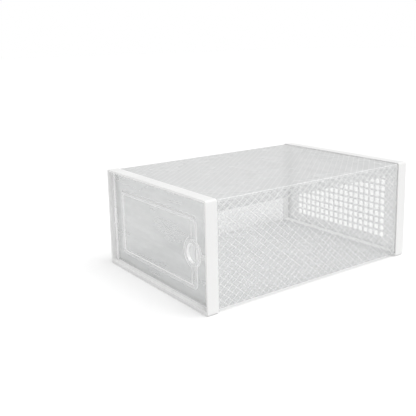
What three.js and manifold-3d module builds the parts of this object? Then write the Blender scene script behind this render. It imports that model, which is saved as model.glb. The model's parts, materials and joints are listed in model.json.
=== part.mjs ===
// Stackable front-opening shoe box: two moulded frames hold a folded plastic sleeve,
// a swing door closes the front and a ventilated panel closes the back.
// Millimetres. +X to the right seen from the front, +Y to the back, +Z up.
// The origin is the middle of the footprint, on the surface that the box stands on.
import * as THREE from 'three';
import { mergeVertices } from 'three/addons/utils/BufferGeometryUtils.js';
import Module from 'manifold-3d';

const wasm = await Module();
wasm.setup();

// Whole box
const WIDTH = 226;
const LENGTH = 330;
const HEIGHT = 130;
const FIT_GAP = 0.3; // clearance between pieces that touch

// Frames
const FRAME_DEPTH = 15;
const FRAME_CORNER = 3;
const FRAME_EDGE = 0.5; // rounding of the outer edges
const POST = 2.5; // wall of the left, right and top rails
const BOTTOM_RAIL = 4.5;
const OPENING_CORNER = 1.5;
const STOP_WIDTH = 4; // ledge that the closed door rests on
const STOP_THICKNESS = 1;

// Folded sleeve
const SHEET = 0.7;
const SHEET_SIDE_INSET = 1.5;
const SHEET_TOP_INSET = 1.3;
const SHEET_BOTTOM_INSET = 4;
const CREASE_RADIUS = 1.2;
const LAP_WIDTH = 12.2; // glued flap along the upper edge of the right side
const LAP_FRONT_MARGIN = 4.6;
const LAP_BACK_MARGIN = 10.7;
const COLLAR = 1.2; // wall that backs the sleeve inside each frame

// Snap catches that lock the sleeve on its collars
const CATCH_LENGTH = 10;
const CATCH_DEPTH = 1.2;
const CATCH_HEIGHT = 1.1;
const CATCH_EDGE_DISTANCE = 2.1; // from the sleeve's end to the middle of a catch
const CATCH_END_CLEARANCE = 0.6; // free length at each end of a catch in its window
const CATCH_WINDOW_REACH = 3; // passes right through the sheet
const CATCH_SIDE_SPOTS = [35, 98];
const CATCH_FLAT_SPOTS = [-70, 0, 70];

// Door
const DOOR_SETBACK = 7;
const DOOR_PLATE = 2;
const DOOR_GAP = 0.6;
const HINGE_FROM_POST = 3.3;
const HINGE_AHEAD_OF_FACE = 0.3;
const BARREL_RADIUS = 1.6;
const PIVOT_RADIUS = 1.1;
const PIVOT_SOCKET_RADIUS = 1.4;
const PIVOT_ENGAGEMENT = 1.3;
const PIVOT_SOCKET_DEPTH = 1.6;
const KNUCKLE_RADIUS = 2.5;
const KNUCKLE_LOW = 56.7;
const KNUCKLE_HIGH = 77.5;
const BAND_HEIGHT = 1.2; // raised band around the middle of the door
const BAND_WIDTH = 6.2;
const BAND_LEFT = -89.7;
const BAND_RIGHT = 85.3;
const BAND_LOW = 18.7;
const BAND_HIGH = 105.5;
const BAND_CORNER = 8;
const RIB_WIDTH = 0.9; // fine rib inside the band that bulges around the finger ring
const RIB_HEIGHT = 0.6;
const RIB_INSET = 5;
const RIB_BULGE = 19.4;
const RING_X = 77;
const RING_Z = 62;
const HOLE_RADIUS = 11.2;
const RING_RADIUS = 16.4;
const RING_HEIGHT = 2;
const TONGUE_LOW = 59.2;
const TONGUE_HIGH = 64.8;
const TONGUE_HEIGHT = 1.2;
const LATCH_BUMP_RADIUS = 1.2;
const LATCH_BUMP_REACH = 0.3;
const LATCH_BUMP_HEIGHT = 9;

// Ventilated back panel
const BACK_SETBACK = 6;
const BACK_PLATE = 2;
const BACK_SKIRT_REACH = 3.5; // how far the skirt shows ahead of the rear frame
const BACK_LIP = 3;
const VENT_COLUMNS = 18;
const VENT_ROWS = 10;
const VENT_SIZE = 6.4;
const VENT_PITCH_X = 9.6;
const VENT_PITCH_Z = 9.35;
const VENT_MIDDLE_Z = 65.4;

// Levels along Y
const FRONT = -LENGTH / 2;
const BACK = LENGTH / 2;
const FRONT_SLEEVE_EDGE = FRONT + FRAME_DEPTH;
const REAR_SLEEVE_EDGE = BACK - FRAME_DEPTH;
const DOOR_FACE = FRONT + DOOR_SETBACK;
const DOOR_REAR = DOOR_FACE + DOOR_PLATE;
const STOP_FRONT = DOOR_REAR + DOOR_GAP;
const STOP_REAR = STOP_FRONT + STOP_THICKNESS;
const SHEET_FRONT = STOP_REAR + FIT_GAP;
const BACK_FACE = BACK - BACK_SETBACK;
const BACK_PLATE_FRONT = BACK_FACE - BACK_PLATE;
const SHEET_BACK = BACK_PLATE_FRONT - FIT_GAP;

// Outlines across the box, each as [left, right, low, high]
const OUTER = [-WIDTH / 2, WIDTH / 2, 0, HEIGHT];
const OPENING = [-WIDTH / 2 + POST, WIDTH / 2 - POST, BOTTOM_RAIL, HEIGHT - POST];
const SHEET_OUTSIDE = [
  -WIDTH / 2 + SHEET_SIDE_INSET, WIDTH / 2 - SHEET_SIDE_INSET,
  SHEET_BOTTOM_INSET, HEIGHT - SHEET_TOP_INSET,
];
const SHEET_INSIDE = grown(SHEET_OUTSIDE, -SHEET);
const COLLAR_OUTSIDE = grown(SHEET_INSIDE, -FIT_GAP);
const COLLAR_INSIDE = grown(COLLAR_OUTSIDE, -COLLAR);

const HINGE_X = OPENING[0] + HINGE_FROM_POST;
const HINGE_Y = DOOR_FACE - HINGE_AHEAD_OF_FACE;
const OVERRUN = 1; // how far a cutter passes the face that it opens
const WELD = 0.2; // overlap that joins two shapes of one piece

// Fineness of rounded shapes
const ARC_STEPS = 4; // quarter corner
const EDGE_STEPS = 2; // eased edge
const POST_STEPS = 24; // pin, barrel or bump
const ROUND_STEPS = 40; // finger ring
const MERGE_DISTANCE = 1e-4; // corners closer than this are one corner

function grown([left, right, low, high], by) {
  return [left - by, right + by, low - by, high + by];
}

function roundedRectangle([left, right, low, high], radius, Kind = THREE.Shape) {
  const outline = new Kind();
  outline.moveTo(left + radius, low);
  outline.lineTo(right - radius, low);
  outline.absarc(right - radius, low + radius, radius, -Math.PI / 2, 0);
  outline.lineTo(right, high - radius);
  outline.absarc(right - radius, high - radius, radius, 0, Math.PI / 2);
  outline.lineTo(left + radius, high);
  outline.absarc(left + radius, high - radius, radius, Math.PI / 2, Math.PI);
  outline.lineTo(left, low + radius);
  outline.absarc(left + radius, low + radius, radius, Math.PI, Math.PI * 1.5);
  return outline;
}

function rectangle([left, right, low, high]) {
  return new THREE.Shape([
    new THREE.Vector2(left, low), new THREE.Vector2(right, low),
    new THREE.Vector2(right, high), new THREE.Vector2(left, high),
  ]);
}

// Turns a closed geometry into a solid for joining and cutting.
function solid(geometry) {
  const bare = geometry.index ? geometry.toNonIndexed() : geometry.clone();
  for (const name of Object.keys(bare.attributes)) {
    if (name !== 'position') {
      bare.deleteAttribute(name);
    }
  }
  const merged = mergeVertices(bare, MERGE_DISTANCE);
  return new wasm.Manifold(new wasm.Mesh({
    numProp: 3,
    vertProperties: new Float32Array(merged.attributes.position.array),
    triVerts: new Uint32Array(merged.index.array),
  }));
}

function geometryOf(manifold) {
  const mesh = manifold.getMesh();
  const geometry = new THREE.BufferGeometry();
  geometry.setAttribute('position', new THREE.BufferAttribute(new Float32Array(mesh.vertProperties), 3));
  geometry.setIndex(new THREE.BufferAttribute(new Uint32Array(mesh.triVerts), 1));
  geometry.computeVertexNormals();
  return geometry;
}

// A shape drawn in X and Z, made solid from one Y level to another.
function slab(shape, fromY, toY) {
  const options = { depth: toY - fromY, bevelEnabled: false, curveSegments: ARC_STEPS };
  const geometry = new THREE.ExtrudeGeometry(shape, options);
  geometry.rotateX(Math.PI / 2);
  geometry.translate(0, toY, 0);
  return solid(geometry);
}

// The same, with its outer edges eased.
function easedSlab(outline, radius, fromY, toY, edge) {
  const shape = roundedRectangle(grown(outline, -edge), radius - edge);
  const options = {
    depth: toY - fromY - 2 * edge, curveSegments: ARC_STEPS,
    bevelThickness: edge, bevelSize: edge, bevelSegments: EDGE_STEPS,
  };
  const geometry = new THREE.ExtrudeGeometry(shape, options);
  geometry.rotateX(Math.PI / 2);
  geometry.translate(0, toY - edge, 0);
  return solid(geometry);
}

function block(outline, fromY, toY) {
  return slab(rectangle(outline), fromY, toY);
}

// A round post along Z.
function post(x, y, radius, fromZ, toZ) {
  const geometry = new THREE.CylinderGeometry(radius, radius, toZ - fromZ, POST_STEPS);
  geometry.rotateX(Math.PI / 2);
  geometry.translate(x, y, (fromZ + toZ) / 2);
  return solid(geometry);
}

// A round disc facing along Y.
function disc(x, z, radius, fromY, toY) {
  const geometry = new THREE.CylinderGeometry(radius, radius, toY - fromY, ROUND_STEPS);
  geometry.translate(x, (fromY + toY) / 2, z);
  return solid(geometry);
}

function joined(solids) {
  return solids.reduce((whole, next) => whole.add(next));
}

function without(whole, cutters) {
  return cutters.reduce((rest, cutter) => rest.subtract(cutter), whole);
}

// Spots for catches or their windows around the sleeve: each is an outline seen from
// the front that starts on the collar's outside and reaches out by the given height.
function catchOutlines(length, reach) {
  const [left, right, low, high] = COLLAR_OUTSIDE;
  const half = length / 2;
  const sides = CATCH_SIDE_SPOTS.flatMap((z) => [
    [left - reach, left + WELD, z - half, z + half],
    [right - WELD, right + reach, z - half, z + half],
  ]);
  const flats = CATCH_FLAT_SPOTS.flatMap((x) => [
    [x - half, x + half, low - reach, low + WELD],
    [x - half, x + half, high - WELD, high + reach],
  ]);
  return [...sides, ...flats];
}

function catches(middleY) {
  return catchOutlines(CATCH_LENGTH, CATCH_HEIGHT).map(
    (outline) => block(outline, middleY - CATCH_DEPTH / 2, middleY + CATCH_DEPTH / 2));
}

function catchWindows(middleY) {
  const half = CATCH_DEPTH / 2 + FIT_GAP;
  return catchOutlines(CATCH_LENGTH + 2 * CATCH_END_CLEARANCE, CATCH_WINDOW_REACH).map(
    (outline) => block(outline, middleY - half, middleY + half));
}

function frontFrame() {
  const mouth = roundedRectangle(OPENING, OPENING_CORNER);
  const stopMouth = roundedRectangle(grown(OPENING, -STOP_WIDTH), OPENING_CORNER);
  const pocket = roundedRectangle(grown(SHEET_OUTSIDE, FIT_GAP), CREASE_RADIUS + FIT_GAP);
  const shell = without(easedSlab(OUTER, FRAME_CORNER, FRONT, FRONT_SLEEVE_EDGE, FRAME_EDGE), [
    slab(mouth, FRONT - OVERRUN, STOP_FRONT),
    slab(stopMouth, STOP_FRONT - OVERRUN, STOP_REAR + OVERRUN),
    slab(pocket, STOP_REAR, FRONT_SLEEVE_EDGE + OVERRUN),
    post(HINGE_X, HINGE_Y, PIVOT_SOCKET_RADIUS, OPENING[3] - OVERRUN, OPENING[3] + PIVOT_SOCKET_DEPTH),
    post(HINGE_X, HINGE_Y, PIVOT_SOCKET_RADIUS, OPENING[2] - PIVOT_SOCKET_DEPTH, OPENING[2] + OVERRUN),
  ]);
  const collarShape = roundedRectangle(COLLAR_OUTSIDE, CREASE_RADIUS);
  collarShape.holes.push(roundedRectangle(COLLAR_INSIDE, OPENING_CORNER, THREE.Path));
  const collar = slab(collarShape, STOP_REAR - WELD, FRONT_SLEEVE_EDGE);
  const bump = post(
    OPENING[1] + LATCH_BUMP_RADIUS - LATCH_BUMP_REACH, DOOR_FACE - LATCH_BUMP_RADIUS - DOOR_GAP,
    LATCH_BUMP_RADIUS, RING_Z - LATCH_BUMP_HEIGHT / 2, RING_Z + LATCH_BUMP_HEIGHT / 2);
  return joined([shell, collar, bump, ...catches(SHEET_FRONT + CATCH_EDGE_DISTANCE)]);
}

function rearFrame() {
  const mouth = roundedRectangle(grown(OPENING, POST - BACK_LIP), OPENING_CORNER);
  const pocket = roundedRectangle(grown(SHEET_OUTSIDE, FIT_GAP), CREASE_RADIUS + FIT_GAP);
  return without(easedSlab(OUTER, FRAME_CORNER, REAR_SLEEVE_EDGE, BACK, FRAME_EDGE), [
    slab(pocket, REAR_SLEEVE_EDGE - OVERRUN, BACK_FACE + FIT_GAP),
    slab(mouth, BACK_FACE, BACK + OVERRUN),
  ]);
}

function foldedSleeve() {
  const tube = roundedRectangle(SHEET_OUTSIDE, CREASE_RADIUS);
  tube.holes.push(roundedRectangle(SHEET_INSIDE, CREASE_RADIUS - SHEET, THREE.Path));
  const [, right, , high] = SHEET_INSIDE;
  const lap = block(
    [right - SHEET, right + WELD, high - LAP_WIDTH, high + WELD],
    SHEET_FRONT + LAP_FRONT_MARGIN, SHEET_BACK - LAP_BACK_MARGIN);
  return without(slab(tube, SHEET_FRONT, SHEET_BACK).add(lap), [
    ...catchWindows(SHEET_FRONT + CATCH_EDGE_DISTANCE),
    ...catchWindows(SHEET_BACK - CATCH_EDGE_DISTANCE),
  ]);
}

// Raised rectangular band on the door's face.
function doorBand() {
  const outline = [BAND_LEFT, BAND_RIGHT, BAND_LOW, BAND_HIGH];
  const shape = roundedRectangle(outline, BAND_CORNER);
  shape.holes.push(roundedRectangle(grown(outline, -BAND_WIDTH), BAND_CORNER - BAND_WIDTH, THREE.Path));
  return slab(shape, DOOR_FACE - BAND_HEIGHT, DOOR_FACE + WELD);
}

// Fine rib inside the band: straight down both ends of the right side, round the ring between.
function doorRib() {
  const x = BAND_RIGHT - BAND_WIDTH - RIB_INSET;
  const inner = [x - RIB_WIDTH, x, BAND_LOW + WELD, BAND_HIGH - WELD];
  const face = DOOR_FACE - RIB_HEIGHT;
  const straight = block(inner, face, DOOR_FACE + WELD);
  const ringZone = disc(RING_X, RING_Z, RIB_BULGE, face - OVERRUN, DOOR_FACE + OVERRUN);
  const bulge = disc(RING_X, RING_Z, RIB_BULGE, face, DOOR_FACE + WELD)
    .subtract(disc(RING_X, RING_Z, RIB_BULGE - RIB_WIDTH, face - OVERRUN, DOOR_FACE + OVERRUN))
    .intersect(block([x - RIB_BULGE, x, RING_Z - RIB_BULGE, RING_Z + RIB_BULGE], face, DOOR_FACE + WELD));
  return straight.subtract(ringZone).add(bulge);
}

function door() {
  const low = OPENING[2] + DOOR_GAP;
  const high = OPENING[3] - DOOR_GAP;
  const right = OPENING[1] - DOOR_GAP;
  const plate = slab(
    roundedRectangle([HINGE_X, right, low, high], OPENING_CORNER), DOOR_FACE, DOOR_REAR);
  const face = DOOR_FACE - RING_HEIGHT;
  const solids = [
    plate,
    post(HINGE_X, HINGE_Y, BARREL_RADIUS, low, high),
    post(HINGE_X, HINGE_Y, PIVOT_RADIUS, OPENING[2] - PIVOT_ENGAGEMENT, OPENING[3] + PIVOT_ENGAGEMENT),
    post(HINGE_X, HINGE_Y, KNUCKLE_RADIUS, KNUCKLE_LOW, KNUCKLE_HIGH),
    doorBand(),
    doorRib(),
    disc(RING_X, RING_Z, RING_RADIUS, face, DOOR_FACE + WELD),
    block([RING_X, right, TONGUE_LOW, TONGUE_HIGH], DOOR_FACE - TONGUE_HEIGHT, DOOR_FACE + WELD),
  ];
  const hole = disc(RING_X, RING_Z, HOLE_RADIUS, face - OVERRUN, DOOR_REAR + OVERRUN);
  return joined(solids).subtract(hole);
}

function ventHole(column, row) {
  const x = (column - (VENT_COLUMNS - 1) / 2) * VENT_PITCH_X;
  const z = VENT_MIDDLE_Z + (row - (VENT_ROWS - 1) / 2) * VENT_PITCH_Z;
  return block(grown([x, x, z, z], VENT_SIZE / 2), BACK_PLATE_FRONT - OVERRUN, BACK_FACE + OVERRUN);
}

function rearVentPanel() {
  const holes = [];
  for (let column = 0; column < VENT_COLUMNS; column += 1) {
    for (let row = 0; row < VENT_ROWS; row += 1) {
      holes.push(ventHole(column, row));
    }
  }
  const plate = without(
    slab(roundedRectangle(SHEET_OUTSIDE, CREASE_RADIUS), BACK_PLATE_FRONT, BACK_FACE), holes);
  const skirtShape = roundedRectangle(COLLAR_OUTSIDE, CREASE_RADIUS);
  skirtShape.holes.push(roundedRectangle(COLLAR_INSIDE, OPENING_CORNER, THREE.Path));
  const skirt = slab(skirtShape, REAR_SLEEVE_EDGE - BACK_SKIRT_REACH, BACK_PLATE_FRONT + WELD);
  return joined([plate, skirt, ...catches(SHEET_BACK - CATCH_EDGE_DISTANCE)]);
}

function piece(name, manifold, look) {
  const mesh = new THREE.Mesh(geometryOf(manifold), new THREE.MeshStandardMaterial(look));
  mesh.name = name;
  return mesh;
}

const WHITE_MOULDED = { color: 0xf1f1f0, roughness: 0.35, metalness: 0 };
const CLEAR_SHEET = { color: 0xe3e5e5, roughness: 0.4, metalness: 0, transparent: true, opacity: 0.45 };
const CLEAR_MOULDED = { color: 0xe6e8e8, roughness: 0.25, metalness: 0, transparent: true, opacity: 0.5 };

const group = new THREE.Group();
const shell = new THREE.Group();
shell.add(
  piece('front_frame', frontFrame(), WHITE_MOULDED),
  piece('rear_frame', rearFrame(), WHITE_MOULDED),
  piece('folded_sleeve', foldedSleeve(), CLEAR_SHEET),
  piece('rear_vent_panel', rearVentPanel(), CLEAR_MOULDED),
);
group.add(shell, piece('door', door(), CLEAR_MOULDED));

export default group;
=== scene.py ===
"""Stackable front-opening shoe box: white rail frames, a folded translucent sleeve with an
embossed diamond grid, a clear swing door with a finger ring and a ventilated back panel."""
import json
import math

import bmesh
import bpy
import numpy as np
from mathutils import Matrix, Vector


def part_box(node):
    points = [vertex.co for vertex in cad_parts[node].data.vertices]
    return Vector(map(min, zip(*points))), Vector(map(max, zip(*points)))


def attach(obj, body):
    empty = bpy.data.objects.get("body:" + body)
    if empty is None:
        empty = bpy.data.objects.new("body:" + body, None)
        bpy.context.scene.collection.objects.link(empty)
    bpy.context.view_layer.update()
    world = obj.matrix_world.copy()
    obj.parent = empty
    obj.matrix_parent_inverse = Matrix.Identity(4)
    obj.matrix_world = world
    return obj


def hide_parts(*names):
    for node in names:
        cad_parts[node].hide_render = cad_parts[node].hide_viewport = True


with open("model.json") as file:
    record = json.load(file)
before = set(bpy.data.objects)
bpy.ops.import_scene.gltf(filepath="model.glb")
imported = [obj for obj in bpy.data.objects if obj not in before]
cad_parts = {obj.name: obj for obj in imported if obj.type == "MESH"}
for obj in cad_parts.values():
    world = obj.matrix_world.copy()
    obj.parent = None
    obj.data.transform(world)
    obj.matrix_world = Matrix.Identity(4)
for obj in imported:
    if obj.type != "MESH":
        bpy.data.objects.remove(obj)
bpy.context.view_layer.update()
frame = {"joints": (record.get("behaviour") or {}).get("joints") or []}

MM = 0.001

# ---------------------------------------------------------------- sizes, in metres
EDGE_EASE = 0.6 * MM        # rounding of the frames' outer edges
LIP_EASE = 0.35 * MM
FRAME_CORNER = 3.0 * MM
MOUTH_CORNER = 1.5 * MM
POST = 2.5 * MM             # wall of the left, right and top rails
BOTTOM_RAIL = 4.5 * MM
STOP_WIDTH = 4.0 * MM       # ledge that the closed door rests on
STOP_THICKNESS = 1.0 * MM
BACK_LIP = 3.0 * MM
FIT_GAP = 0.3 * MM
COLLAR = 1.2 * MM

SHEET = 0.7 * MM
CREASE_RADIUS = 1.2 * MM
LAP_WIDTH = 12.2 * MM
LAP_HAZE = 0.34             # opacity of one surface, face on
DIAMOND_ALONG = 11.2 * MM   # embossed diamonds, along the box
DIAMONDS_ROUND = 75         # and whole diamonds round it
DIAMOND_START_Y = -141.3 * MM
DIAMOND_START_S = 108.2 * MM
RIDGE_WIDTH = 0.85 * MM
RIDGE_HEIGHT = 0.08 * MM
LINE_WIDTH = 1.1 * MM
RIDGE_SPACING = 7.15 * MM   # between lines, square to them

DOOR_PLATE = 2.0 * MM
DOOR_GAP = 0.6 * MM         # above and below the door
ROOT = 0.4 * MM             # how deep raised parts of the door run into its plate
BARREL_RADIUS = 1.6 * MM
PIVOT_RADIUS = 1.1 * MM
PIVOT_SOCKET_RADIUS = 1.4 * MM
PIVOT_SOCKET_DEPTH = 1.6 * MM
KNUCKLE_RADIUS = 2.5 * MM
KNUCKLE = (56.7 * MM, 77.5 * MM)
BAND = (-89.7 * MM, 85.3 * MM, 18.7 * MM, 105.5 * MM)
BAND_WIDTH = 6.2 * MM
BAND_HEIGHT = 1.2 * MM
BAND_CORNER = 8.0 * MM
RING_CENTRE = (77.0 * MM, 62.0 * MM)
RING_RADIUS = 16.4 * MM
RING_HEIGHT = 2.0 * MM
HOLE_RADIUS = 11.2 * MM
RIB_WIDTH = 1.2 * MM
RIB_HEIGHT = 0.6 * MM
RIB_INSET = 5.0 * MM
RIB_BULGE = 19.4 * MM
TONGUE = (59.2 * MM, 64.8 * MM)
TONGUE_HEIGHT = 1.2 * MM

BACK_PLATE = 2.0 * MM
VENT_COLUMNS, VENT_ROWS = 18, 10
VENT_SIZE = 6.4 * MM
VENT_PITCH = (9.6 * MM, 9.35 * MM)
VENT_MIDDLE_Z = 65.4 * MM
VENT_CORNER = 0.9 * MM

LATCH_RADIUS = 1.2 * MM
LATCH_HALF_HEIGHT = 4.5 * MM
LATCH_INTO_POST = 0.9 * MM
LATCH_AHEAD = 1.8 * MM      # of the door face

FRONT_LOW, FRONT_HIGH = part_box("front_frame")
REAR_LOW, REAR_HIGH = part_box("rear_frame")
SLEEVE_LOW, SLEEVE_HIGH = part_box("folded_sleeve")
DOOR_LOW, DOOR_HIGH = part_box("door")
VENT_LOW, VENT_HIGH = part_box("rear_vent_panel")
HINGE = Vector(frame["joints"][0]["pos_m"])


# ---------------------------------------------------------------- surfaces
def outline_loops(stations, corner_steps=6):
    """Points round rounded rectangles: each corner's centre plus its radius times the cosine and
    sine of an angle that runs a quarter turn. stations is n rows of left, right, low, high,
    radius and y, and the result is n loops of points in X, Y, Z."""
    left, right, low, high, radius, y = stations.T[:, :, None]
    quarter = np.linspace(0, math.pi / 2, corner_steps + 1)
    angle = np.concatenate([quarter + k * math.pi / 2 for k in range(-1, 3)])[None, :]
    on_right = np.repeat([True, True, False, False], corner_steps + 1)[None, :]
    on_top = np.repeat([False, True, True, False], corner_steps + 1)[None, :]
    x = np.where(on_right, right - radius, left + radius) + radius * np.cos(angle)
    z = np.where(on_top, high - radius, low + radius) + radius * np.sin(angle)
    return np.stack([x, np.broadcast_to(y, x.shape), z], axis=-1)


def eased(stations, sizes, steps=4, closed=True):
    """Rounds the corners of a section. Each station with a size is replaced by a quadratic curve:
    (1-t)^2 times the point a size before it, plus 2t(1-t) times itself, plus t^2 times the point
    a size after it."""
    stations = np.asarray(stations, float)
    count = len(stations)
    t = np.linspace(0, 1, steps + 1)[:, None]
    rows = []
    for i, size in enumerate(sizes):
        here = stations[i]
        if not size or (not closed and i in (0, count - 1)):
            rows.append(here[None, :])
            continue
        ends = []
        for other in (stations[i - 1], stations[(i + 1) % count]):
            step = other - here
            ends.append(here + step * min(0.5, size / np.abs(step).max()))
        rows.append((1 - t) ** 2 * ends[0] + 2 * t * (1 - t) * here + t ** 2 * ends[1])
    return np.concatenate(rows)


def grid_faces(rows, columns, wrap_rows=False, wrap_columns=False, start=0):
    """Quads between neighbouring points of a grid of rows and columns."""
    r = np.arange(rows if wrap_rows else rows - 1)
    c = np.arange(columns if wrap_columns else columns - 1)
    r, c = [a.ravel() for a in np.meshgrid(r, c, indexing="ij")]
    r2, c2 = (r + 1) % rows, (c + 1) % columns
    corners = [r * columns + c, r * columns + c2, r2 * columns + c2, r2 * columns + c]
    return start + np.stack(corners, 1)


def mesh_from(name, parts):
    """One mesh from several (points, faces) parts."""
    points, faces, at = [], [], 0
    for part_points, part_faces in parts:
        part_points = np.asarray(part_points, float).reshape(-1, 3)
        points.append(part_points)
        faces += [[int(i) + at for i in face] for face in part_faces]
        at += len(part_points)
    mesh = bpy.data.meshes.new(name)
    mesh.from_pydata(np.concatenate(points).tolist(), [], faces)
    mesh.validate()
    return mesh


def outward(mesh):
    """Turns all faces of closed shells to point out."""
    bm = bmesh.new()
    bm.from_mesh(mesh)
    bmesh.ops.remove_doubles(bm, verts=bm.verts, dist=1e-6)
    bmesh.ops.recalc_face_normals(bm, faces=bm.faces)
    bm.to_mesh(mesh)
    bm.free()


def thing(name, mesh, sharp_degrees=35):
    """An object for a mesh, smooth but for edges sharper than an angle."""
    outward(mesh)
    mesh.shade_smooth()
    mesh.set_sharp_from_angle(angle=math.radians(sharp_degrees))
    piece = bpy.data.objects.new(name, mesh)
    bpy.context.scene.collection.objects.link(piece)
    return piece


def weighted(piece):
    """Lets the large faces set the shading, so flats stay flat beside their rounded edges."""
    modifier = piece.modifiers.new("flats", "WEIGHTED_NORMAL")
    modifier.keep_sharp = True
    return piece


def ring_part(stations, corner_steps=6):
    """A closed section carried round rounded rectangles."""
    loops = outline_loops(stations, corner_steps)
    rows, columns = loops.shape[:2]
    return loops, grid_faces(rows, columns, True, True)


def slab_part(stations, corner_steps=6):
    """A solid slab: the loops of its section, with a flat face on the first and the last."""
    loops = outline_loops(stations, corner_steps)
    rows, columns = loops.shape[:2]
    faces = grid_faces(rows, columns, False, True).tolist()
    last = (rows - 1) * columns
    faces += [list(range(columns)), list(range(last + columns - 1, last - 1, -1))]
    return loops, faces


def turned_part(profile, centre, axis, steps=64, closed=False):
    """A profile of (radius, place along the axis) rows turned about the axis through centre:
    each point goes round at its own radius."""
    profile = np.asarray(profile, float)
    angle = np.arange(steps) * 2 * math.pi / steps
    a, b = {"Y": (0, 2), "Z": (0, 1)}[axis]
    along = {"Y": 1, "Z": 2}[axis]
    points = np.zeros((len(profile), steps, 3))
    points[:, :, a] = centre[a] + profile[:, :1] * np.cos(angle)
    points[:, :, b] = centre[b] + profile[:, :1] * np.sin(angle)
    points[:, :, along] = profile[:, 1:2]
    faces = grid_faces(len(profile), steps, closed, True).tolist()
    if not closed:
        last = (len(profile) - 1) * steps
        faces += [list(range(steps)), list(range(last + steps - 1, last - 1, -1))]
    return points, faces


def rod_profile(radius, low, high, ease, steps=4):
    """Half section of a round rod with rounded rims, from its low end to its high end."""
    corners = [(0.3 * radius, low), (radius, low), (radius, high), (0.3 * radius, high)]
    return eased(corners, (0, ease, ease, 0), steps, closed=False)


def swept_part(path, width, top, bottom):
    """A half-round ridge along a path in X and Z: across the path its height is the cosine of
    the place, from edge to edge, and it runs straight down to bottom."""
    path = np.asarray(path, float)
    way = np.gradient(path, axis=0)
    way /= np.linalg.norm(way, axis=1, keepdims=True)
    side = np.stack([-way[:, 1], way[:, 0]], 1)
    across = np.linspace(-1, 1, 7)
    rise = np.cos(across * math.pi / 2) ** 0.7
    across = np.concatenate([across, [1, -1]])
    level = np.concatenate([bottom + (top - bottom) * (0.35 + 0.65 * rise), [bottom, bottom]])
    points = np.zeros((len(path), len(across), 3))
    points[:, :, 0] = path[:, :1] + side[:, :1] * across * width / 2
    points[:, :, 2] = path[:, 1:] + side[:, 1:] * across * width / 2
    points[:, :, 1] = level
    faces = grid_faces(*points.shape[:2], False, True).tolist()
    last = (len(path) - 1) * len(across)
    faces += [list(range(len(across))), list(range(last + len(across) - 1, last - 1, -1))]
    return points, faces


def combined(name, base, others, operation):
    """base joined with or cut by others, as one clean mesh."""
    for i, other in enumerate(others):
        modifier = base.modifiers.new(f"step{i}", "BOOLEAN")
        modifier.operation, modifier.solver, modifier.object = operation, "EXACT", other
    whole = bpy.data.meshes.new_from_object(
        base.evaluated_get(bpy.context.evaluated_depsgraph_get()))
    for old in (base, *others):
        data = old.data
        bpy.data.objects.remove(old)
        bpy.data.meshes.remove(data)
    whole.name = name
    return thing(name, whole)


# ---------------------------------------------------------------- the frames
def box_of(low, high):
    """A box seen from the front, as left, right, low and high."""
    return (low.x, high.x, low.z, high.z)


def grown(box, by):
    """A box with each side moved out by a distance."""
    return (box[0] - by, box[1] + by, box[2] - by, box[3] + by)


SHEET_OUTSIDE = box_of(SLEEVE_LOW, SLEEVE_HIGH)
SHEET_INSIDE = grown(SHEET_OUTSIDE, -SHEET)
COLLAR_OUTSIDE = grown(SHEET_INSIDE, -FIT_GAP)
COLLAR_INSIDE = grown(COLLAR_OUTSIDE, -COLLAR)


def station(box, radius, y):
    """A rounded rectangle at a depth, as outline_loops takes it."""
    return [*box, radius, y]


def front_frame_section():
    """The front frame's section, from its outer wall round the sleeve's pocket, the collar, the
    stop ledge and the door's reveal, back to the front lip."""
    outer = box_of(FRONT_LOW, FRONT_HIGH)
    mouth = (outer[0] + POST, outer[1] - POST, outer[2] + BOTTOM_RAIL, outer[3] - POST)
    ledge = grown(mouth, -STOP_WIDTH)
    pocket = grown(SHEET_OUTSIDE, FIT_GAP)
    front, rear = FRONT_LOW.y, FRONT_HIGH.y
    floor = SLEEVE_LOW.y - FIT_GAP
    rows = [
        station(outer, FRAME_CORNER, front), station(outer, FRAME_CORNER, rear),
        station(pocket, CREASE_RADIUS, rear), station(pocket, CREASE_RADIUS, floor),
        station(COLLAR_OUTSIDE, CREASE_RADIUS, floor), station(COLLAR_OUTSIDE, CREASE_RADIUS, rear),
        station(COLLAR_INSIDE, MOUTH_CORNER, rear), station(COLLAR_INSIDE, MOUTH_CORNER, floor),
        station(ledge, MOUTH_CORNER, floor), station(ledge, MOUTH_CORNER, floor - STOP_THICKNESS),
        station(mouth, MOUTH_CORNER, floor - STOP_THICKNESS), station(mouth, MOUTH_CORNER, front),
    ]
    sizes = [EDGE_EASE, EDGE_EASE, LIP_EASE, 0, 0, LIP_EASE, LIP_EASE, 0, LIP_EASE, LIP_EASE,
             LIP_EASE, LIP_EASE]
    return eased(rows, sizes), mouth


def make_front_frame():
    """The front rails, with the two blind sockets that the hinge pins turn in."""
    section, mouth = front_frame_section()
    body = thing("front_rails", mesh_from("front_rails", [ring_part(section, 8)]))
    reach = PIVOT_SOCKET_DEPTH
    sockets = [
        thing(f"socket{i}", mesh_from(f"socket{i}", [turned_part(
            rod_profile(PIVOT_SOCKET_RADIUS, low, high, 0), HINGE, "Z", 24)]))
        for i, (low, high) in enumerate([(mouth[2] - reach, mouth[2] + MM),
                                         (mouth[3] - MM, mouth[3] + reach)])]
    return weighted(combined("front_frame_moulding", body, sockets, "DIFFERENCE"))


def make_latch_bump():
    """A small upright half-round on the right post that the door's edge clicks past."""
    x = FRONT_HIGH.x - POST + LATCH_INTO_POST
    y = DOOR_HIGH.y - DOOR_PLATE - LATCH_AHEAD
    middle = RING_CENTRE[1]
    profile = rod_profile(LATCH_RADIUS, middle - LATCH_HALF_HEIGHT, middle + LATCH_HALF_HEIGHT,
                          LATCH_RADIUS / 2)
    part = turned_part(profile, Vector((x, y, 0)), "Z", 24)
    return thing("latch_bump", mesh_from("latch_bump", [part]))


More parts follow.
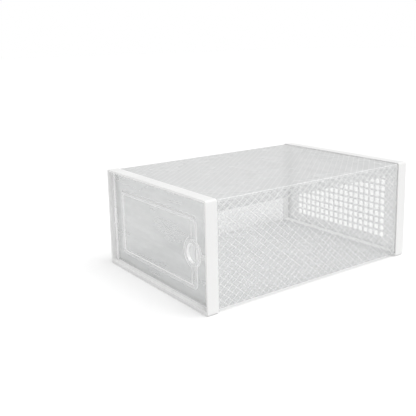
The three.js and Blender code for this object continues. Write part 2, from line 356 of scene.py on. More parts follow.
def make_rear_frame():
    """The rear rails: the outer wall, the lip behind the panel and the sleeve's pocket."""
    outer = box_of(REAR_LOW, REAR_HIGH)
    mouth = (outer[0] + BACK_LIP, outer[1] - BACK_LIP, outer[2] + BOTTOM_RAIL + 0.5 * MM,
             outer[3] - BACK_LIP)
    pocket = grown(SHEET_OUTSIDE, FIT_GAP)
    front, rear, shoulder = REAR_LOW.y, REAR_HIGH.y, VENT_HIGH.y + FIT_GAP
    rows = [
        station(outer, FRAME_CORNER, front), station(outer, FRAME_CORNER, rear),
        station(mouth, MOUTH_CORNER, rear), station(mouth, MOUTH_CORNER, shoulder),
        station(pocket, CREASE_RADIUS, shoulder), station(pocket, CREASE_RADIUS, front),
    ]
    sizes = [EDGE_EASE, EDGE_EASE, LIP_EASE, LIP_EASE, 0, LIP_EASE]
    return weighted(thing("rear_frame_moulding", mesh_from(
        "rear_frame_moulding", [ring_part(eased(rows, sizes), 8)])))


# ---------------------------------------------------------------- the folded sleeve
SHEET_LEFT, SHEET_RIGHT, SHEET_FOOT, SHEET_TOP = SHEET_OUTSIDE
SHEET_WIDE, SHEET_TALL = SHEET_RIGHT - SHEET_LEFT, SHEET_TOP - SHEET_FOOT
GIRTH = 2 * (SHEET_WIDE + SHEET_TALL)
DIAMOND_ACROSS = GIRTH / DIAMONDS_ROUND
# each wall in order round the sleeve: where it starts, its length, its start corner, the way it
# runs, the way out and how far its middle bows out
WALLS = [
    (0.0, SHEET_TALL, (SHEET_RIGHT, SHEET_FOOT), (0, 1), (1, 0), 0.25 * MM),
    (SHEET_TALL, SHEET_WIDE, (SHEET_RIGHT, SHEET_TOP), (-1, 0), (0, 1), -0.7 * MM),
    (SHEET_TALL + SHEET_WIDE, SHEET_TALL, (SHEET_LEFT, SHEET_TOP), (0, -1), (-1, 0), 0.25 * MM),
    (2 * SHEET_TALL + SHEET_WIDE, SHEET_WIDE, (SHEET_LEFT, SHEET_FOOT), (1, 0), (0, -1), 0.4 * MM),
]


def bow_along(y):
    """How much of its bow a wall has at y: none inside the frames, all in the middle."""
    t = np.clip((y - FRONT_HIGH.y) / (REAR_LOW.y - FRONT_HIGH.y), 0, 1)
    return np.sin(math.pi * t) ** 0.8


def folded(s, y, lift):
    """Folds a flat sheet round the box. s is the distance round it from the low right crease:
    within a radius of a crease it runs round a quarter circle, elsewhere along a straight wall,
    and the point then moves out by its lift plus the wall's bow there."""
    s = np.mod(s, GIRTH)
    r = CREASE_RADIUS
    points = np.zeros((len(s), 3))
    points[:, 1] = y
    for start, length, corner, way, out, bow in WALLS:
        corner, way, out = np.array(corner), np.array(way, float), np.array(out, float)
        here = np.mod(s - start + r, GIRTH) - r
        on_wall = (here >= r) & (here <= length - r)
        t = here[on_wall][:, None]
        arch = bow * np.sin(math.pi * (here[on_wall] - r) / (length - 2 * r)) * bow_along(y[on_wall])
        flat = corner + way * t + out * (lift[on_wall] + arch)[:, None]
        points[np.ix_(on_wall, [0, 2])] = flat
        on_crease = np.abs(here) < r
        angle = ((here[on_crease] + r) / (2 * r) * math.pi / 2)[:, None]
        middle = corner + way * r - out * r
        bend = out_of_previous(out) * np.cos(angle) + out * np.sin(angle)
        points[np.ix_(on_crease, [0, 2])] = middle + bend * (r + lift[on_crease])[:, None]
    return points


def out_of_previous(out):
    """The way out of the wall before: a quarter turn back."""
    return np.array([out[1], -out[0]])


def diamond_net(y_low, y_high):
    """The embossed net, laid out flat as distance round, distance along and height. In the
    net's own two directions p and q, lines are at whole numbers, so each diamond has a crest at
    0 and the feet of the ridge at w and 1 - w. A point's place is half the sum of p and q
    across, and half their difference along."""
    w = RIDGE_WIDTH / 2 / RIDGE_SPACING
    steps = np.array([0.0, w, 1 - w, 1.0])
    rise = np.array([1.0, 0.0, 0.0, 1.0])
    high = math.ceil((y_high - DIAMOND_START_Y) / DIAMOND_ALONG) + 1
    low = math.floor((y_low - DIAMOND_START_Y) / DIAMOND_ALONG) - 1
    total, spread = np.meshgrid(np.arange(2 * DIAMONDS_ROUND), np.arange(2 * low, 2 * high))
    keep = (total + spread) % 2 == 0
    p = ((total + spread) // 2)[keep]
    q = ((total - spread) // 2)[keep]
    p_local, q_local = [a.ravel() for a in np.meshgrid(steps, steps, indexing="ij")]
    height = np.maximum.outer(rise, rise).ravel()
    p = p[:, None] + p_local
    q = q[:, None] + q_local
    s = DIAMOND_START_S + DIAMOND_ACROSS * (p + q) / 2
    y = DIAMOND_START_Y + DIAMOND_ALONG * (p - q) / 2
    points = np.stack([s, y, np.broadcast_to(height, s.shape)], -1)
    cell = grid_faces(4, 4)
    faces = (np.arange(len(p))[:, None, None] * 16 + cell[None]).reshape(-1, 4)
    return points.reshape(-1, 3), faces


def cut_across(bm, place, way, clear_below=False, clear_above=False):
    """Cuts a flat mesh along a straight line at a place on one axis."""
    bmesh.ops.bisect_plane(
        bm, geom=bm.verts[:] + bm.edges[:] + bm.faces[:], dist=1e-7, plane_co=Vector(way) * place,
        plane_no=Vector(way), clear_inner=clear_below, clear_outer=clear_above)


def make_sleeve(crease_steps=6):
    """The net cut to the sheet's length and along its creases, folded, and given its thickness."""
    points, faces = diamond_net(SLEEVE_LOW.y, SLEEVE_HIGH.y)
    flat = bpy.data.meshes.new("sleeve_sheet")
    flat.from_pydata(points.tolist(), [], faces.tolist())
    bm = bmesh.new()
    bm.from_mesh(flat)
    bmesh.ops.remove_doubles(bm, verts=bm.verts, dist=1e-6)
    cut_across(bm, SLEEVE_LOW.y, (0, 1, 0), clear_below=True)
    cut_across(bm, SLEEVE_HIGH.y, (0, 1, 0), clear_above=True)
    for start, *_ in WALLS:
        for turn in (0, GIRTH):
            middle = start + turn
            if -DIAMOND_ACROSS < middle - DIAMOND_START_S < GIRTH + DIAMOND_ACROSS:
                for spot in np.linspace(-CREASE_RADIUS, CREASE_RADIUS, crease_steps + 1):
                    cut_across(bm, middle + spot, (1, 0, 0))
    bm.to_mesh(flat)
    bm.free()
    count = len(flat.vertices)
    spots = np.zeros(count * 3)
    flat.vertices.foreach_get("co", spots)
    s, y, height = spots.reshape(-1, 3).T
    chart = np.stack([s, y], 1)
    corner = np.zeros(len(flat.loops), int)
    flat.loops.foreach_get("vertex_index", corner)
    layer = flat.uv_layers.new(name="unrolled")
    layer.data.foreach_set("uv", chart[corner].astype(np.float32).ravel())
    fade = np.clip((y - FRONT_HIGH.y) / MM + 3, 0, 1) * np.clip((REAR_LOW.y - y) / MM + 3, 0, 1)
    off_crease = np.min([np.abs(np.mod(s - start + GIRTH / 2, GIRTH) - GIRTH / 2)
                         for start, *_ in WALLS], axis=0)
    fade = fade * np.clip((off_crease - CREASE_RADIUS) / (1.5 * MM), 0, 1)
    flat.vertices.foreach_set("co", folded(s, y, height * RIDGE_HEIGHT * fade).ravel())
    flat.update()
    piece = thing("sleeve_sheet", flat, 80)
    thick = piece.modifiers.new("sheet_thickness", "SOLIDIFY")
    thick.thickness, thick.offset, thick.use_even_offset = SHEET, -1.0, True
    thick.material_offset = 1
    return weighted(piece)


def make_lap():
    """The glued flap: a strip of the same sheet behind the top of the right side."""
    low, high = SHEET_TALL - SHEET - 0.5 * MM - LAP_WIDTH, SHEET_TALL - SHEET - 0.5 * MM
    y = np.linspace(FRONT_HIGH.y + 0.3 * MM, VENT_LOW.y - 0.5 * MM, 25)
    s = np.linspace(low, high, 5)
    s_grid, y_grid = [a.ravel() for a in np.meshgrid(s, y)]
    layers = [folded(s_grid, y_grid, np.full(len(s_grid), -depth)).reshape(len(y), len(s), 3)
              for depth in (SHEET + 0.05 * MM, 2 * SHEET)]
    ring = np.concatenate([layers[0], layers[1][:, ::-1]], 1)
    rows, columns = ring.shape[:2]
    faces = grid_faces(rows, columns, False, True).tolist()
    last = (rows - 1) * columns
    faces += [list(range(columns)), list(range(last + columns - 1, last - 1, -1))]
    piece = thing("sleeve_lap", mesh_from("sleeve_lap", [(ring, faces)]))
    corner = np.zeros(len(piece.data.loops), int)
    piece.data.loops.foreach_get("vertex_index", corner)
    co = np.zeros(len(piece.data.vertices) * 3)
    piece.data.vertices.foreach_get("co", co)
    co = co.reshape(-1, 3)
    layer = piece.data.uv_layers.new(name="unrolled")
    unrolled = np.stack([co[:, 2] - SHEET_FOOT + DIAMOND_ACROSS / 4, co[:, 1]], 1)
    layer.data.foreach_set("uv", unrolled[corner].astype(np.float32).ravel())
    return piece


# ---------------------------------------------------------------- the door
DOOR_FACE = DOOR_HIGH.y - DOOR_PLATE
DOOR_TOP = FRONT_HIGH.z - POST - DOOR_GAP
DOOR_FOOT = FRONT_LOW.z + BOTTOM_RAIL + DOOR_GAP
DOOR_RIGHT = DOOR_HIGH.x


def door_plate():
    """The flat of the door, from the hinge line to its free edge."""
    box = (HINGE.x, DOOR_RIGHT, DOOR_FOOT, DOOR_TOP)
    ease = 0.4 * MM
    middle = grown(box, -2 * MM)
    rows = [
        station(middle, 0.6 * MM, DOOR_FACE), station(box, MOUTH_CORNER, DOOR_FACE),
        station(box, MOUTH_CORNER, DOOR_HIGH.y), station(middle, 0.6 * MM, DOOR_HIGH.y),
    ]
    section = eased(rows, (0, ease, ease, 0), 3, False)
    return thing("plate", mesh_from("plate", [slab_part(section)]))


def door_band():
    """The raised band: its section has an outer and an inner slope, each eased at the top."""
    root, top, slope = DOOR_FACE + ROOT, DOOR_FACE - BAND_HEIGHT, 1.5 * MM
    inside = grown(BAND, -BAND_WIDTH)
    inner_corner = BAND_CORNER - BAND_WIDTH
    rows = [
        station(BAND, BAND_CORNER, root), station(grown(BAND, -slope), BAND_CORNER - slope, top),
        station(grown(inside, slope), inner_corner + slope, top), station(inside, inner_corner, root),
    ]
    section = eased(rows, (0, 0.5 * MM, 0.5 * MM, 0))
    return thing("band", mesh_from("band", [ring_part(section, 12)]))


def finger_ring():
    """A collar round the finger hole, turned: eased at its rim and rounded into the hole."""
    top, rear = DOOR_FACE - RING_HEIGHT, DOOR_HIGH.y
    neck = RING_RADIUS - 2 * MM
    rows = [(HOLE_RADIUS, top), (RING_RADIUS - 1.4 * MM, top), (RING_RADIUS, DOOR_FACE + ROOT),
            (neck, DOOR_FACE + 0.6 * MM), (neck, rear), (HOLE_RADIUS, rear)]
    profile = eased(rows, (1.0 * MM, 0.8 * MM, 0, 0, 0, 0.6 * MM))
    centre = Vector((RING_CENTRE[0], 0, RING_CENTRE[1]))
    return thing("ring", mesh_from("ring", [turned_part(profile, centre, "Y", 72, True)]))


def ring_hole():
    """A rod that cuts the plate out inside the collar."""
    radius = RING_RADIUS - 1.9 * MM
    profile = [(radius, DOOR_FACE - 4 * MM), (radius, DOOR_HIGH.y + 4 * MM)]
    centre = Vector((RING_CENTRE[0], 0, RING_CENTRE[1]))
    return thing("hole", mesh_from("hole", [turned_part(profile, centre, "Y", 72)]))


def door_rib():
    """The fine rib: up the right side, then an arc round the finger ring, then up again."""
    x = BAND[1] - BAND_WIDTH - RIB_INSET - RIB_WIDTH / 2
    cx, cz = RING_CENTRE
    radius = RIB_BULGE - RIB_WIDTH / 2
    half = math.acos(np.clip((cx - x) / radius, -1, 1))
    angle = np.linspace(math.pi + half, math.pi - half, 40)
    arc = np.stack([cx + radius * np.cos(angle), cz + radius * np.sin(angle)], 1)
    low = np.stack([np.full(6, x), np.linspace(BAND[2] + 4 * MM, arc[0, 1] - 0.5 * MM, 6)], 1)
    high = np.stack([np.full(6, x), np.linspace(arc[-1, 1] + 0.5 * MM, BAND[3] - 4 * MM, 6)], 1)
    path = np.concatenate([low, arc, high])
    part = swept_part(path, RIB_WIDTH, DOOR_FACE - RIB_HEIGHT, DOOR_FACE + ROOT)
    return thing("rib", mesh_from("rib", [part]))


def latch_tongue():
    """The low bar from the ring to the door's free edge."""
    box = (RING_CENTRE[0] + HOLE_RADIUS + 2 * MM, DOOR_RIGHT - 0.05 * MM, TONGUE[0], TONGUE[1])
    top = DOOR_FACE - TONGUE_HEIGHT
    rows = [
        station(grown(box, -MM), 0.4 * MM, top), station(box, 0.8 * MM, top),
        station(box, 0.8 * MM, DOOR_FACE + 0.7 * MM),
    ]
    section = eased(rows, (0, 0.5 * MM, 0), 3, False)
    return thing("tongue", mesh_from("tongue", [slab_part(section)]))


def hinge_rod(name, radius, low, high, ease):
    """A round rod on the hinge line."""
    profile = rod_profile(radius, low, high, ease)
    return thing(name, mesh_from(name, [turned_part(profile, HINGE, "Z", 32)]))


def make_door():
    """The door as one solid: plate, raised band, ring, rib, tongue and hinge rods."""
    plate = combined("door_plate", door_plate(), [ring_hole()], "DIFFERENCE")
    parts = [
        door_band(), finger_ring(), door_rib(), latch_tongue(),
        hinge_rod("barrel", BARREL_RADIUS, DOOR_FOOT, DOOR_TOP, 0.3 * MM),
        hinge_rod("pins", PIVOT_RADIUS, DOOR_LOW.z, DOOR_HIGH.z, 0.3 * MM),
        hinge_rod("knuckle", KNUCKLE_RADIUS, *KNUCKLE, 0.7 * MM),
    ]
    return weighted(combined("door_moulding", plate, parts, "UNION"))


# ---------------------------------------------------------------- the ventilated back panel
def vent_cell():
    """One square of the panel with its rounded hole: the square's corners and the hole's loop on
    each face, with the hole's rims eased by a slope."""
    half = VENT_SIZE / 2
    steps = 3
    ease = 0.35 * MM
    front, rear = VENT_HIGH.y - BACK_PLATE, VENT_HIGH.y
    hole = (-half, half, -half, half)
    rim = grown(hole, ease)
    rows = [
        station(rim, VENT_CORNER + ease, front), station(hole, VENT_CORNER, front + ease),
        station(hole, VENT_CORNER, rear - ease), station(rim, VENT_CORNER + ease, rear),
    ]
    loops = outline_loops(np.array(rows), steps)
    x, z = VENT_PITCH[0] / 2, VENT_PITCH[1] / 2
    square = np.array([(x, -z), (x, z), (-x, z), (-x, -z)])
    corners = np.array([[(sx, y, sz) for sx, sz in square] for y in (front, rear)])
    points = np.concatenate([loops.reshape(-1, 3), corners.reshape(-1, 3)])
    count = 4 * (steps + 1)
    faces = grid_faces(4, count, False, True).tolist()
    for row, base in ((0, 4 * count), (3, 4 * count + 4)):
        for side in range(4):
            first = side * (steps + 1) + steps // 2
            k = np.arange(first, first + steps + 2) % count
            start, end = base + side, base + (side + 1) % 4
            faces.append([start, end] + [int(row * count + i) for i in k[::-1]])
    return points, faces


def vent_grid():
    """The cell repeated in columns and rows, all points at once."""
    points, faces = vent_cell()
    x = (np.arange(VENT_COLUMNS) - (VENT_COLUMNS - 1) / 2) * VENT_PITCH[0]
    z = VENT_MIDDLE_Z + (np.arange(VENT_ROWS) - (VENT_ROWS - 1) / 2) * VENT_PITCH[1]
    spots = np.stack(np.meshgrid(x, z, indexing="ij"), -1).reshape(-1, 2)
    moved = points[None] + np.stack([spots[:, 0], np.zeros(len(spots)), spots[:, 1]], 1)[:, None]
    repeated = [[i + n * len(points) for i in face] for n in range(len(spots)) for face in faces]
    return moved.reshape(-1, 3), repeated


def make_vent_panel():
    """The tray: the grid, a plain margin on both faces that closes it to the rim, and the skirt."""
    front, rear = VENT_HIGH.y - BACK_PLATE, VENT_HIGH.y
    reach_x, reach_z = VENT_COLUMNS * VENT_PITCH[0] / 2, VENT_ROWS * VENT_PITCH[1] / 2
    edge = (-reach_x, reach_x, VENT_MIDDLE_Z - reach_z, VENT_MIDDLE_Z + reach_z)
    rows = [
        station(COLLAR_INSIDE, MOUTH_CORNER, front), station(COLLAR_INSIDE, MOUTH_CORNER, VENT_LOW.y),
        station(COLLAR_OUTSIDE, CREASE_RADIUS, VENT_LOW.y), station(COLLAR_OUTSIDE, CREASE_RADIUS, front),
        station(SHEET_OUTSIDE, CREASE_RADIUS, front), station(SHEET_OUTSIDE, CREASE_RADIUS, rear),
    ]
    ease = 0.4 * MM
    steps = 6
    loops = outline_loops(eased(rows, (0, 0.3 * MM, 0.3 * MM, 0, ease, 0), 3, False), steps)
    count = loops.shape[1]
    rim = (loops, grid_faces(len(loops), count, False, True).tolist())
    parts = [vent_grid(), rim]
    for y, loop in ((front, loops[0]), (rear, loops[-1])):
        for side in range(4):
            parts.append(margin(edge, y, loop, side, steps))
    return weighted(thing("vent_panel_moulding", mesh_from("vent_panel_moulding", parts)))


def margin(edge, y, loop, side, steps):
    """One side of the plain margin: a flat face from the grid's border to the rim's loop."""
    left, right, low, high = edge
    corners = [(right, low), (right, high), (left, high), (left, low)]
    counts = [VENT_ROWS, VENT_COLUMNS, VENT_ROWS, VENT_COLUMNS]
    start, end = np.array(corners[side]), np.array(corners[(side + 1) % 4])
    t = np.linspace(0, 1, counts[side] + 1)[:, None]
    border = start * (1 - t) + end * t
    inner = np.stack([border[:, 0], np.full(len(border), y), border[:, 1]], 1)
    first = side * (steps + 1) + steps // 2
    k = np.arange(first, first + steps + 2) % len(loop)
    points = np.concatenate([inner, loop[k][::-1]])
    return points, [list(range(len(points)))]


# ---------------------------------------------------------------- shader helpers
class Nodes:
    """Short ways to add and join nodes in one tree."""

    def __init__(self, tree):
        self.tree = tree

    def add(self, kind, **values):
        node = self.tree.nodes.new(kind)
        for name, value in values.items():
            setattr(node, name, value)
        return node

    def link(self, source, target):
        self.tree.links.new(source, target)

    def feed(self, socket, value):
        if isinstance(value, bpy.types.NodeSocket):
            self.link(value, socket)
        else:
            socket.default_value = value

    def math(self, operation, a, b=0.0, clamp=False):
        node = self.add("ShaderNodeMath", operation=operation, use_clamp=clamp)
        self.feed(node.inputs[0], a)
        self.feed(node.inputs[1], b)
        return node.outputs[0]

    def mix(self, factor, a, b):
        """Colours a to b by factor."""
        node = self.add("ShaderNodeMix", data_type="RGBA")
        self.feed(node.inputs["Factor"], factor)
        self.feed(node.inputs[6], a)
        self.feed(node.inputs[7], b)
        return node.outputs[2]

    def between(self, value, from_low, from_high, to_low, to_high):
        node = self.add("ShaderNodeMapRange")
        for name, given in zip(("Value", "From Min", "From Max", "To Min", "To Max"),
                               (value, from_low, from_high, to_low, to_high)):
            self.feed(node.inputs[name], given)
        return node.outputs[0]

    def noise(self, vector, scale, detail=3.0, roughness=0.5):
        node = self.add("ShaderNodeTexNoise")
        self.feed(node.inputs["Vector"], vector)
        node.inputs["Scale"].default_value = scale
        node.inputs["Detail"].default_value = detail
        node.inputs["Roughness"].default_value = roughness
        return node.outputs[0]


def group(name, inputs, outputs):
    """A new shader node group with float, vector or colour sockets."""
    tree = bpy.data.node_groups.new(name, "ShaderNodeTree")
    kinds = {"f": "NodeSocketFloat", "v": "NodeSocketVector", "c": "NodeSocketColor"}
    for label, kind in inputs:
        tree.interface.new_socket(label, in_out="INPUT", socket_type=kinds[kind])
    for label, kind in outputs:
        tree.interface.new_socket(label, in_out="OUTPUT", socket_type=kinds[kind])
    nodes = Nodes(tree)
    return tree, nodes, nodes.add("NodeGroupInput"), nodes.add("NodeGroupOutput")


def moulding_skin():
    """Moulded plastic: soft clouding where the melt flowed, a fine grain and a few hairline rubs."""
    tree, n, given, result = group(
        "moulding_skin", [("Vector", "v"), ("Grain", "f")],
        [("Cloud", "f"), ("Rub", "f"), ("Height", "f")])
    where = given.outputs["Vector"]
    cloud = n.noise(where, 18.0, 2.0)
    grain = n.noise(where, 900.0, 2.0)
    stretched = n.add("ShaderNodeMapping")
    n.link(where, stretched.inputs["Vector"])
    stretched.inputs["Scale"].default_value = (40.0, 900.0, 60.0)
    stretched.inputs["Rotation"].default_value = (0.3, 0.2, 0.5)
    rub = n.between(n.noise(stretched.outputs[0], 1.0, 1.0), 0.66, 0.74, 0.0, 1.0)
    height = n.math("MULTIPLY", grain, given.outputs["Grain"])
    n.link(cloud, result.inputs["Cloud"])
    n.link(rub, result.inputs["Rub"])
    n.link(height, result.inputs["Height"])
    return tree


def diamond_grid():
    """Diamond lines on the unrolled sheet: Line is 1 on a line and 0 between, Crossing is 1 where
    two lines meet. A line is where the sum or the difference of the two scaled coordinates is
    near a whole number, and it fades out over the outer half of its width."""
    tree, n, given, result = group(
        "diamond_grid", [("Vector", "v"), ("Across", "f"), ("Along", "f"), ("Width", "f")],
        [("Line", "f"), ("Crossing", "f")])
    parts = n.add("ShaderNodeSeparateXYZ")
    n.link(given.outputs["Vector"], parts.inputs[0])
    round_it = n.math("SUBTRACT", parts.outputs[0], DIAMOND_START_S)
    along_it = n.math("SUBTRACT", parts.outputs[1], DIAMOND_START_Y)
    s = n.math("DIVIDE", round_it, given.outputs["Across"])
    y = n.math("DIVIDE", along_it, given.outputs["Along"])
    width = given.outputs["Width"]
    lines = []
    for operation in ("ADD", "SUBTRACT"):
        off = n.math("PINGPONG", n.math(operation, s, y), 0.5)
        lines.append(n.between(off, n.math("MULTIPLY", width, 0.4), width, 1.0, 0.0))
    n.link(n.math("MAXIMUM", *lines), result.inputs["Line"])
    n.link(n.math("MULTIPLY", *lines), result.inputs["Crossing"])
    return tree


SKIN = moulding_skin()
DIAMONDS = diamond_grid()


def material(name):
    """A new material with its Principled shader, and the coordinates of the piece in metres."""
    made = bpy.data.materials.new(name)
    made.use_nodes = True
    n = Nodes(made.node_tree)
    shader = made.node_tree.nodes["Principled BSDF"]
    where = n.add("ShaderNodeTexCoord").outputs["Object"]
    return made, n, shader, where


def skin(n, where, grain):
    """The moulded plastic group, ready joined to the piece's coordinates."""
    node = n.add("ShaderNodeGroup", node_tree=SKIN)
    n.link(where, node.inputs["Vector"])
    node.inputs["Grain"].default_value = grain
    return node.outputs


def bumped(n, shader, height, distance, strength=1.0):
    """Fine relief from a height mask."""
    bump = n.add("ShaderNodeBump")
    bump.inputs["Distance"].default_value = distance
    bump.inputs["Strength"].default_value = strength
    n.link(height, bump.inputs["Height"])
    n.link(bump.outputs[0], shader.inputs["Normal"])


def white_rail_plastic():
    """Satin white moulding: faint clouding where the melt flowed, hairline rubs and a fine grain."""
    made, n, shader, where = material("white_rail_plastic")
    marks = skin(n, where, 1.0)
    base = n.mix(marks["Cloud"], (0.84, 0.84, 0.835, 1), (0.88, 0.88, 0.875, 1))
    rubbed = n.mix(n.math("MULTIPLY", marks["Rub"], 0.15), base, (0.75, 0.75, 0.75, 1))
    n.link(rubbed, shader.inputs["Base Color"])
    n.link(n.between(marks["Cloud"], 0.3, 0.7, 0.3, 0.4), shader.inputs["Roughness"])
    bumped(n, shader, marks["Height"], 0.02 * MM)
    shader.inputs["IOR"].default_value = 1.49
    return made


def slanting(n, sharpness_low, sharpness_high):
    """0 on the large faces that look along the box and 1 on slopes, rims and edges: the mask of the
    painted highlights on rims.
    """
    parts = n.add("ShaderNodeSeparateXYZ")
    n.link(n.add("ShaderNodeTexCoord").outputs["Normal"], parts.inputs[0])
    return n.between(n.math("ABSOLUTE", parts.outputs[1]), sharpness_high, sharpness_low, 0.0, 1.0)


def facing(n):
    """0 where a surface is seen face on, 1 where it is seen along itself."""
    weight = n.add("ShaderNodeLayerWeight")
    weight.inputs["Blend"].default_value = 0.5
    return weight.outputs["Facing"]


def haze(n, face_on, edge_on):
    """Opacity of one surface of a clear wall: more where the wall is seen along itself."""
    return n.between(n.math("POWER", facing(n), 3.0), 0.0, 1.0, face_on, edge_on)


def opacity(n, shader, seen, marks=0.0):
    """A clear wall scatters light forwards too, so it shades what is behind it less than it
    hides, and fine marks on it cast no shadow."""
    looked_at = n.add("ShaderNodeLightPath").outputs["Is Camera Ray"]
    wall = n.math("MULTIPLY", seen, n.between(looked_at, 0.0, 1.0, 0.42, 1.0))
    n.link(n.math("ADD", wall, n.math("MULTIPLY", marks, looked_at), True), shader.inputs["Alpha"])


def net_lines(n, chart, width):
    """The diamond grid group at the sheet's own spacing."""
    net = n.add("ShaderNodeGroup", node_tree=DIAMONDS)
    n.link(chart, net.inputs["Vector"])
    net.inputs["Across"].default_value = DIAMOND_ACROSS
    net.inputs["Along"].default_value = DIAMOND_ALONG
    net.inputs["Width"].default_value = width
    return net.outputs


def fold_lines(n, chart):
    """1 along the four creases, where the sheet is whitened, and 0 elsewhere. The creases are at 0
    and at one side's height in every half girth."""
    parts = n.add("ShaderNodeSeparateXYZ")
    n.link(chart, parts.inputs[0])
    half = SHEET_TALL + SHEET_WIDE
    off = [n.math("PINGPONG", n.math("SUBTRACT", parts.outputs[0], start), half / 2)
           for start in (0.0, SHEET_TALL)]
    return n.between(n.math("MINIMUM", *off), 0.3 * MM, 0.8 * MM, 1.0, 0.0)


def sleeve_film(name, embossed, face_on=0.22):
    """Hazy sheet. Its embossed side has white lines with bright crossings, which show from
    outside only, and whitened creases; its inner side is plain."""
    made, n, shader, where = material(name)
    marks = skin(n, where, 0.3)
    chart = n.add("ShaderNodeUVMap", uv_map="unrolled").outputs[0]
    base = n.mix(marks["Cloud"], (0.6, 0.61, 0.61, 1), (0.66, 0.67, 0.67, 1))
    line = 0.0
    if embossed:
        fold = fold_lines(n, chart)
        outside = n.math("SUBTRACT", 1.0, n.add("ShaderNodeNewGeometry").outputs["Backfacing"])
        main = net_lines(n, chart, LINE_WIDTH / 2 / RIDGE_SPACING)
        white = n.math("MAXIMUM", main["Line"], fold)
        base = n.mix(n.math("MULTIPLY", white, outside), base, (0.93, 0.93, 0.93, 1))
        line = n.math("MULTIPLY", main["Line"], 0.46)
        line = n.math("ADD", line, n.math("MULTIPLY", main["Crossing"], 0.45))
        fade = n.math("POWER", n.math("SUBTRACT", 1.0, facing(n)), 2.2)
        line = n.math("MULTIPLY", line, n.math("MULTIPLY", outside, fade))
        line = n.math("ADD", line, n.math("MULTIPLY", fold, 0.35))
    n.link(base, shader.inputs["Base Color"])
    n.link(n.between(marks["Cloud"], 0.3, 0.7, 0.2, 0.32), shader.inputs["Roughness"])
    opacity(n, shader, haze(n, face_on, 1.0), line)
    bumped(n, shader, marks["Cloud"], 0.3 * MM, 0.3)
    shader.inputs["IOR"].default_value = 1.49
    shader.inputs["Sheen Weight"].default_value = 1.0
    shader.inputs["Sheen Roughness"].default_value = 0.4
    return made


def clear_door_plastic():
    """Clear moulding: slopes and rims are painted white as painted highlights, raised parts are hazier
    because they are thicker, and horizontal lighter and darker streaks lie across it as painted
    reflections."""
    made, n, shader, where = material("clear_door_plastic")
    marks = skin(n, where, 0.5)
    # Painted reflections: horizontally stretched noise makes lighter and darker streaks in the door's
    # colour and haze, standing in for blurred reflections; it also drives a faint bump.
    stretched = n.add("ShaderNodeMapping")
    n.link(where, stretched.inputs["Vector"])
    stretched.inputs["Scale"].default_value = (9.0, 1.0, 55.0)
    stretched.inputs["Rotation"].default_value = (0.0, 0.12, 0.0)
    painted_reflection_streaks = n.noise(stretched.outputs[0], 1.0, 3.0)
    parts = n.add("ShaderNodeSeparateXYZ")
    n.link(where, parts.inputs[0])
    raised = n.between(parts.outputs[1], DOOR_FACE - 0.6 * MM, DOOR_FACE - 0.3 * MM, 1.0, 0.0)
    # Painted highlight: slopes, rims and edges are painted near white and made more opaque, standing in
    # for light they catch.
    edge = slanting(n, 0.72, 0.93)
    base = n.mix(n.between(painted_reflection_streaks, 0.35, 0.65, 0.0, 1.0), (0.54, 0.55, 0.55, 1), (0.68, 0.69, 0.69, 1))
    base = n.mix(n.math("MULTIPLY", raised, 0.5), base, (0.85, 0.85, 0.85, 1))
    n.link(n.mix(edge, base, (0.97, 0.97, 0.97, 1)), shader.inputs["Base Color"])
    n.link(n.between(marks["Cloud"], 0.3, 0.7, 0.12, 0.22), shader.inputs["Roughness"])
    hidden = n.math("ADD", haze(n, 0.36, 0.75), n.between(painted_reflection_streaks, 0.35, 0.65, -0.04, 0.05))
    # bright: opacity of the painted rim highlights, plus more haze on the thicker raised parts.
    bright = n.math("ADD", n.math("MULTIPLY", edge, 0.62), n.math("MULTIPLY", raised, 0.1))
    opacity(n, shader, hidden, bright)
    bumped(n, shader, painted_reflection_streaks, 0.15 * MM, 0.2)
    shader.inputs["IOR"].default_value = 1.49
    return made


def frosted_panel_plastic():
    """Frosted moulding, with painted highlights: the rims round the vents are painted white."""
    made, n, shader, where = material("frosted_panel_plastic")
    marks = skin(n, where, 1.0)
    # Painted highlight: slopes and rims round the vents are painted near white and made more opaque.
    edge = slanting(n, 0.7, 0.95)
    base = n.mix(marks["Cloud"], (0.44, 0.45, 0.45, 1), (0.53, 0.54, 0.54, 1))
    n.link(n.mix(edge, base, (0.92, 0.92, 0.92, 1)), shader.inputs["Base Color"])
    n.link(n.between(marks["Cloud"], 0.3, 0.7, 0.35, 0.5), shader.inputs["Roughness"])
    opacity(n, shader, haze(n, 0.34, 0.6), n.math("MULTIPLY", edge, 0.25))
    bumped(n, shader, marks["Height"], 0.03 * MM)
    return made


# ---------------------------------------------------------------- assembly
def place(piece, finish, body, slot, *nodes):
    """Gives a piece its finish and the body it moves with, and hides the imported parts of the nodes it
    stands for; slot is not used.
    """
    piece.data.materials.clear()
    piece.data.materials.append(finish)
    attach(piece, body)
    if nodes:
        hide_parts(*nodes)
    return piece


rails = white_rail_plastic()
embossed_film = sleeve_film("embossed_film", True)
plain_film = sleeve_film("plain_film", False)
place(make_front_frame(), rails, "shell", "white_frame", "front_frame")
place(make_latch_bump(), rails, "shell", "white_frame")
place(make_rear_frame(), rails, "shell", "white_frame", "rear_frame")
sleeve = place(make_sleeve(), embossed_film, "shell", "sleeve_sheet", "folded_sleeve")
sleeve.data.materials.append(plain_film)
place(make_lap(), sleeve_film("lap_film", True, LAP_HAZE), "shell", "sleeve_sheet")
place(make_vent_panel(), frosted_panel_plastic(), "shell", "vent_panel", "rear_vent_panel")
place(make_door(), clear_door_plastic(), "door", "clear_door", "door")


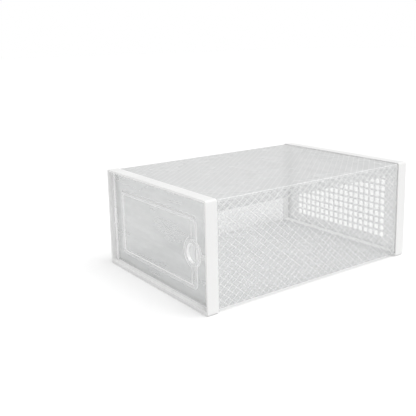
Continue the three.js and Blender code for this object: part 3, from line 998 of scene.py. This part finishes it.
# ---------------------------------------------------------------- floor, light and camera
def make_floor():
    """A pale floor that reaches past the horizon of every view."""
    reach = 12.0
    mesh = bpy.data.meshes.new("floor")
    mesh.from_pydata([(-reach, -reach, 0), (reach, -reach, 0), (reach, reach, 0), (-reach, reach, 0)],
                     [], [(0, 1, 2, 3)])
    floor = bpy.data.objects.new("floor", mesh)
    bpy.context.scene.collection.objects.link(floor)
    made, _, shader, _ = material("pale_floor")
    shader.inputs["Base Color"].default_value = (0.965, 0.965, 0.965, 1)
    shader.inputs["Roughness"].default_value = 0.9
    shader.inputs["Specular IOR Level"].default_value = 0.1
    mesh.materials.append(made)


def make_light():
    """A white room, and a broad soft light high on the right, behind the box."""
    world = bpy.data.worlds.new("studio")
    bpy.context.scene.world = world
    world.use_nodes = True
    background = world.node_tree.nodes["Background"]
    n = Nodes(world.node_tree)
    seen = n.add("ShaderNodeLightPath").outputs["Is Camera Ray"]
    background.inputs["Color"].default_value = (1, 1, 1, 1)
    n.link(n.between(seen, 0.0, 1.0, 0.58, 1.0), background.inputs["Strength"])
    lamp = bpy.data.lights.new("soft_key", "SUN")
    lamp.energy, lamp.angle = 1.9, math.radians(50)
    holder = bpy.data.objects.new("soft_key", lamp)
    bpy.context.scene.collection.objects.link(holder)
    holder.location = Vector((0.8, 0.45, 2.8))
    holder.rotation_mode = "QUATERNION"
    holder.rotation_quaternion = (-holder.location).to_track_quat("-Z", "Y")


def make_camera():
    """The camera stands to the right in front, a little above, and looks slightly down."""
    scene = bpy.context.scene
    scene.view_settings.view_transform = "Standard"
    data = bpy.data.cameras.new("camera")
    data.sensor_width, data.lens, data.shift_y = 36.0, 55.38, -0.096
    camera = bpy.data.objects.new("camera", data)
    scene.collection.objects.link(camera)
    heading, tilt, roll = math.radians(-54.66), math.radians(11.29), math.radians(-1.25)
    turn = Matrix.Rotation(-heading, 3, "Z") @ Matrix.Rotation(math.pi / 2 - tilt, 3, "X")
    turn = turn @ Matrix.Rotation(roll, 3, "Z")
    camera.matrix_world = Matrix.Translation((0.6454, -0.5382, 0.2952)) @ turn.to_4x4()
    scene.camera = camera
    scene.cycles.transparent_max_bounces = 32


make_camera()
make_floor()
make_light()
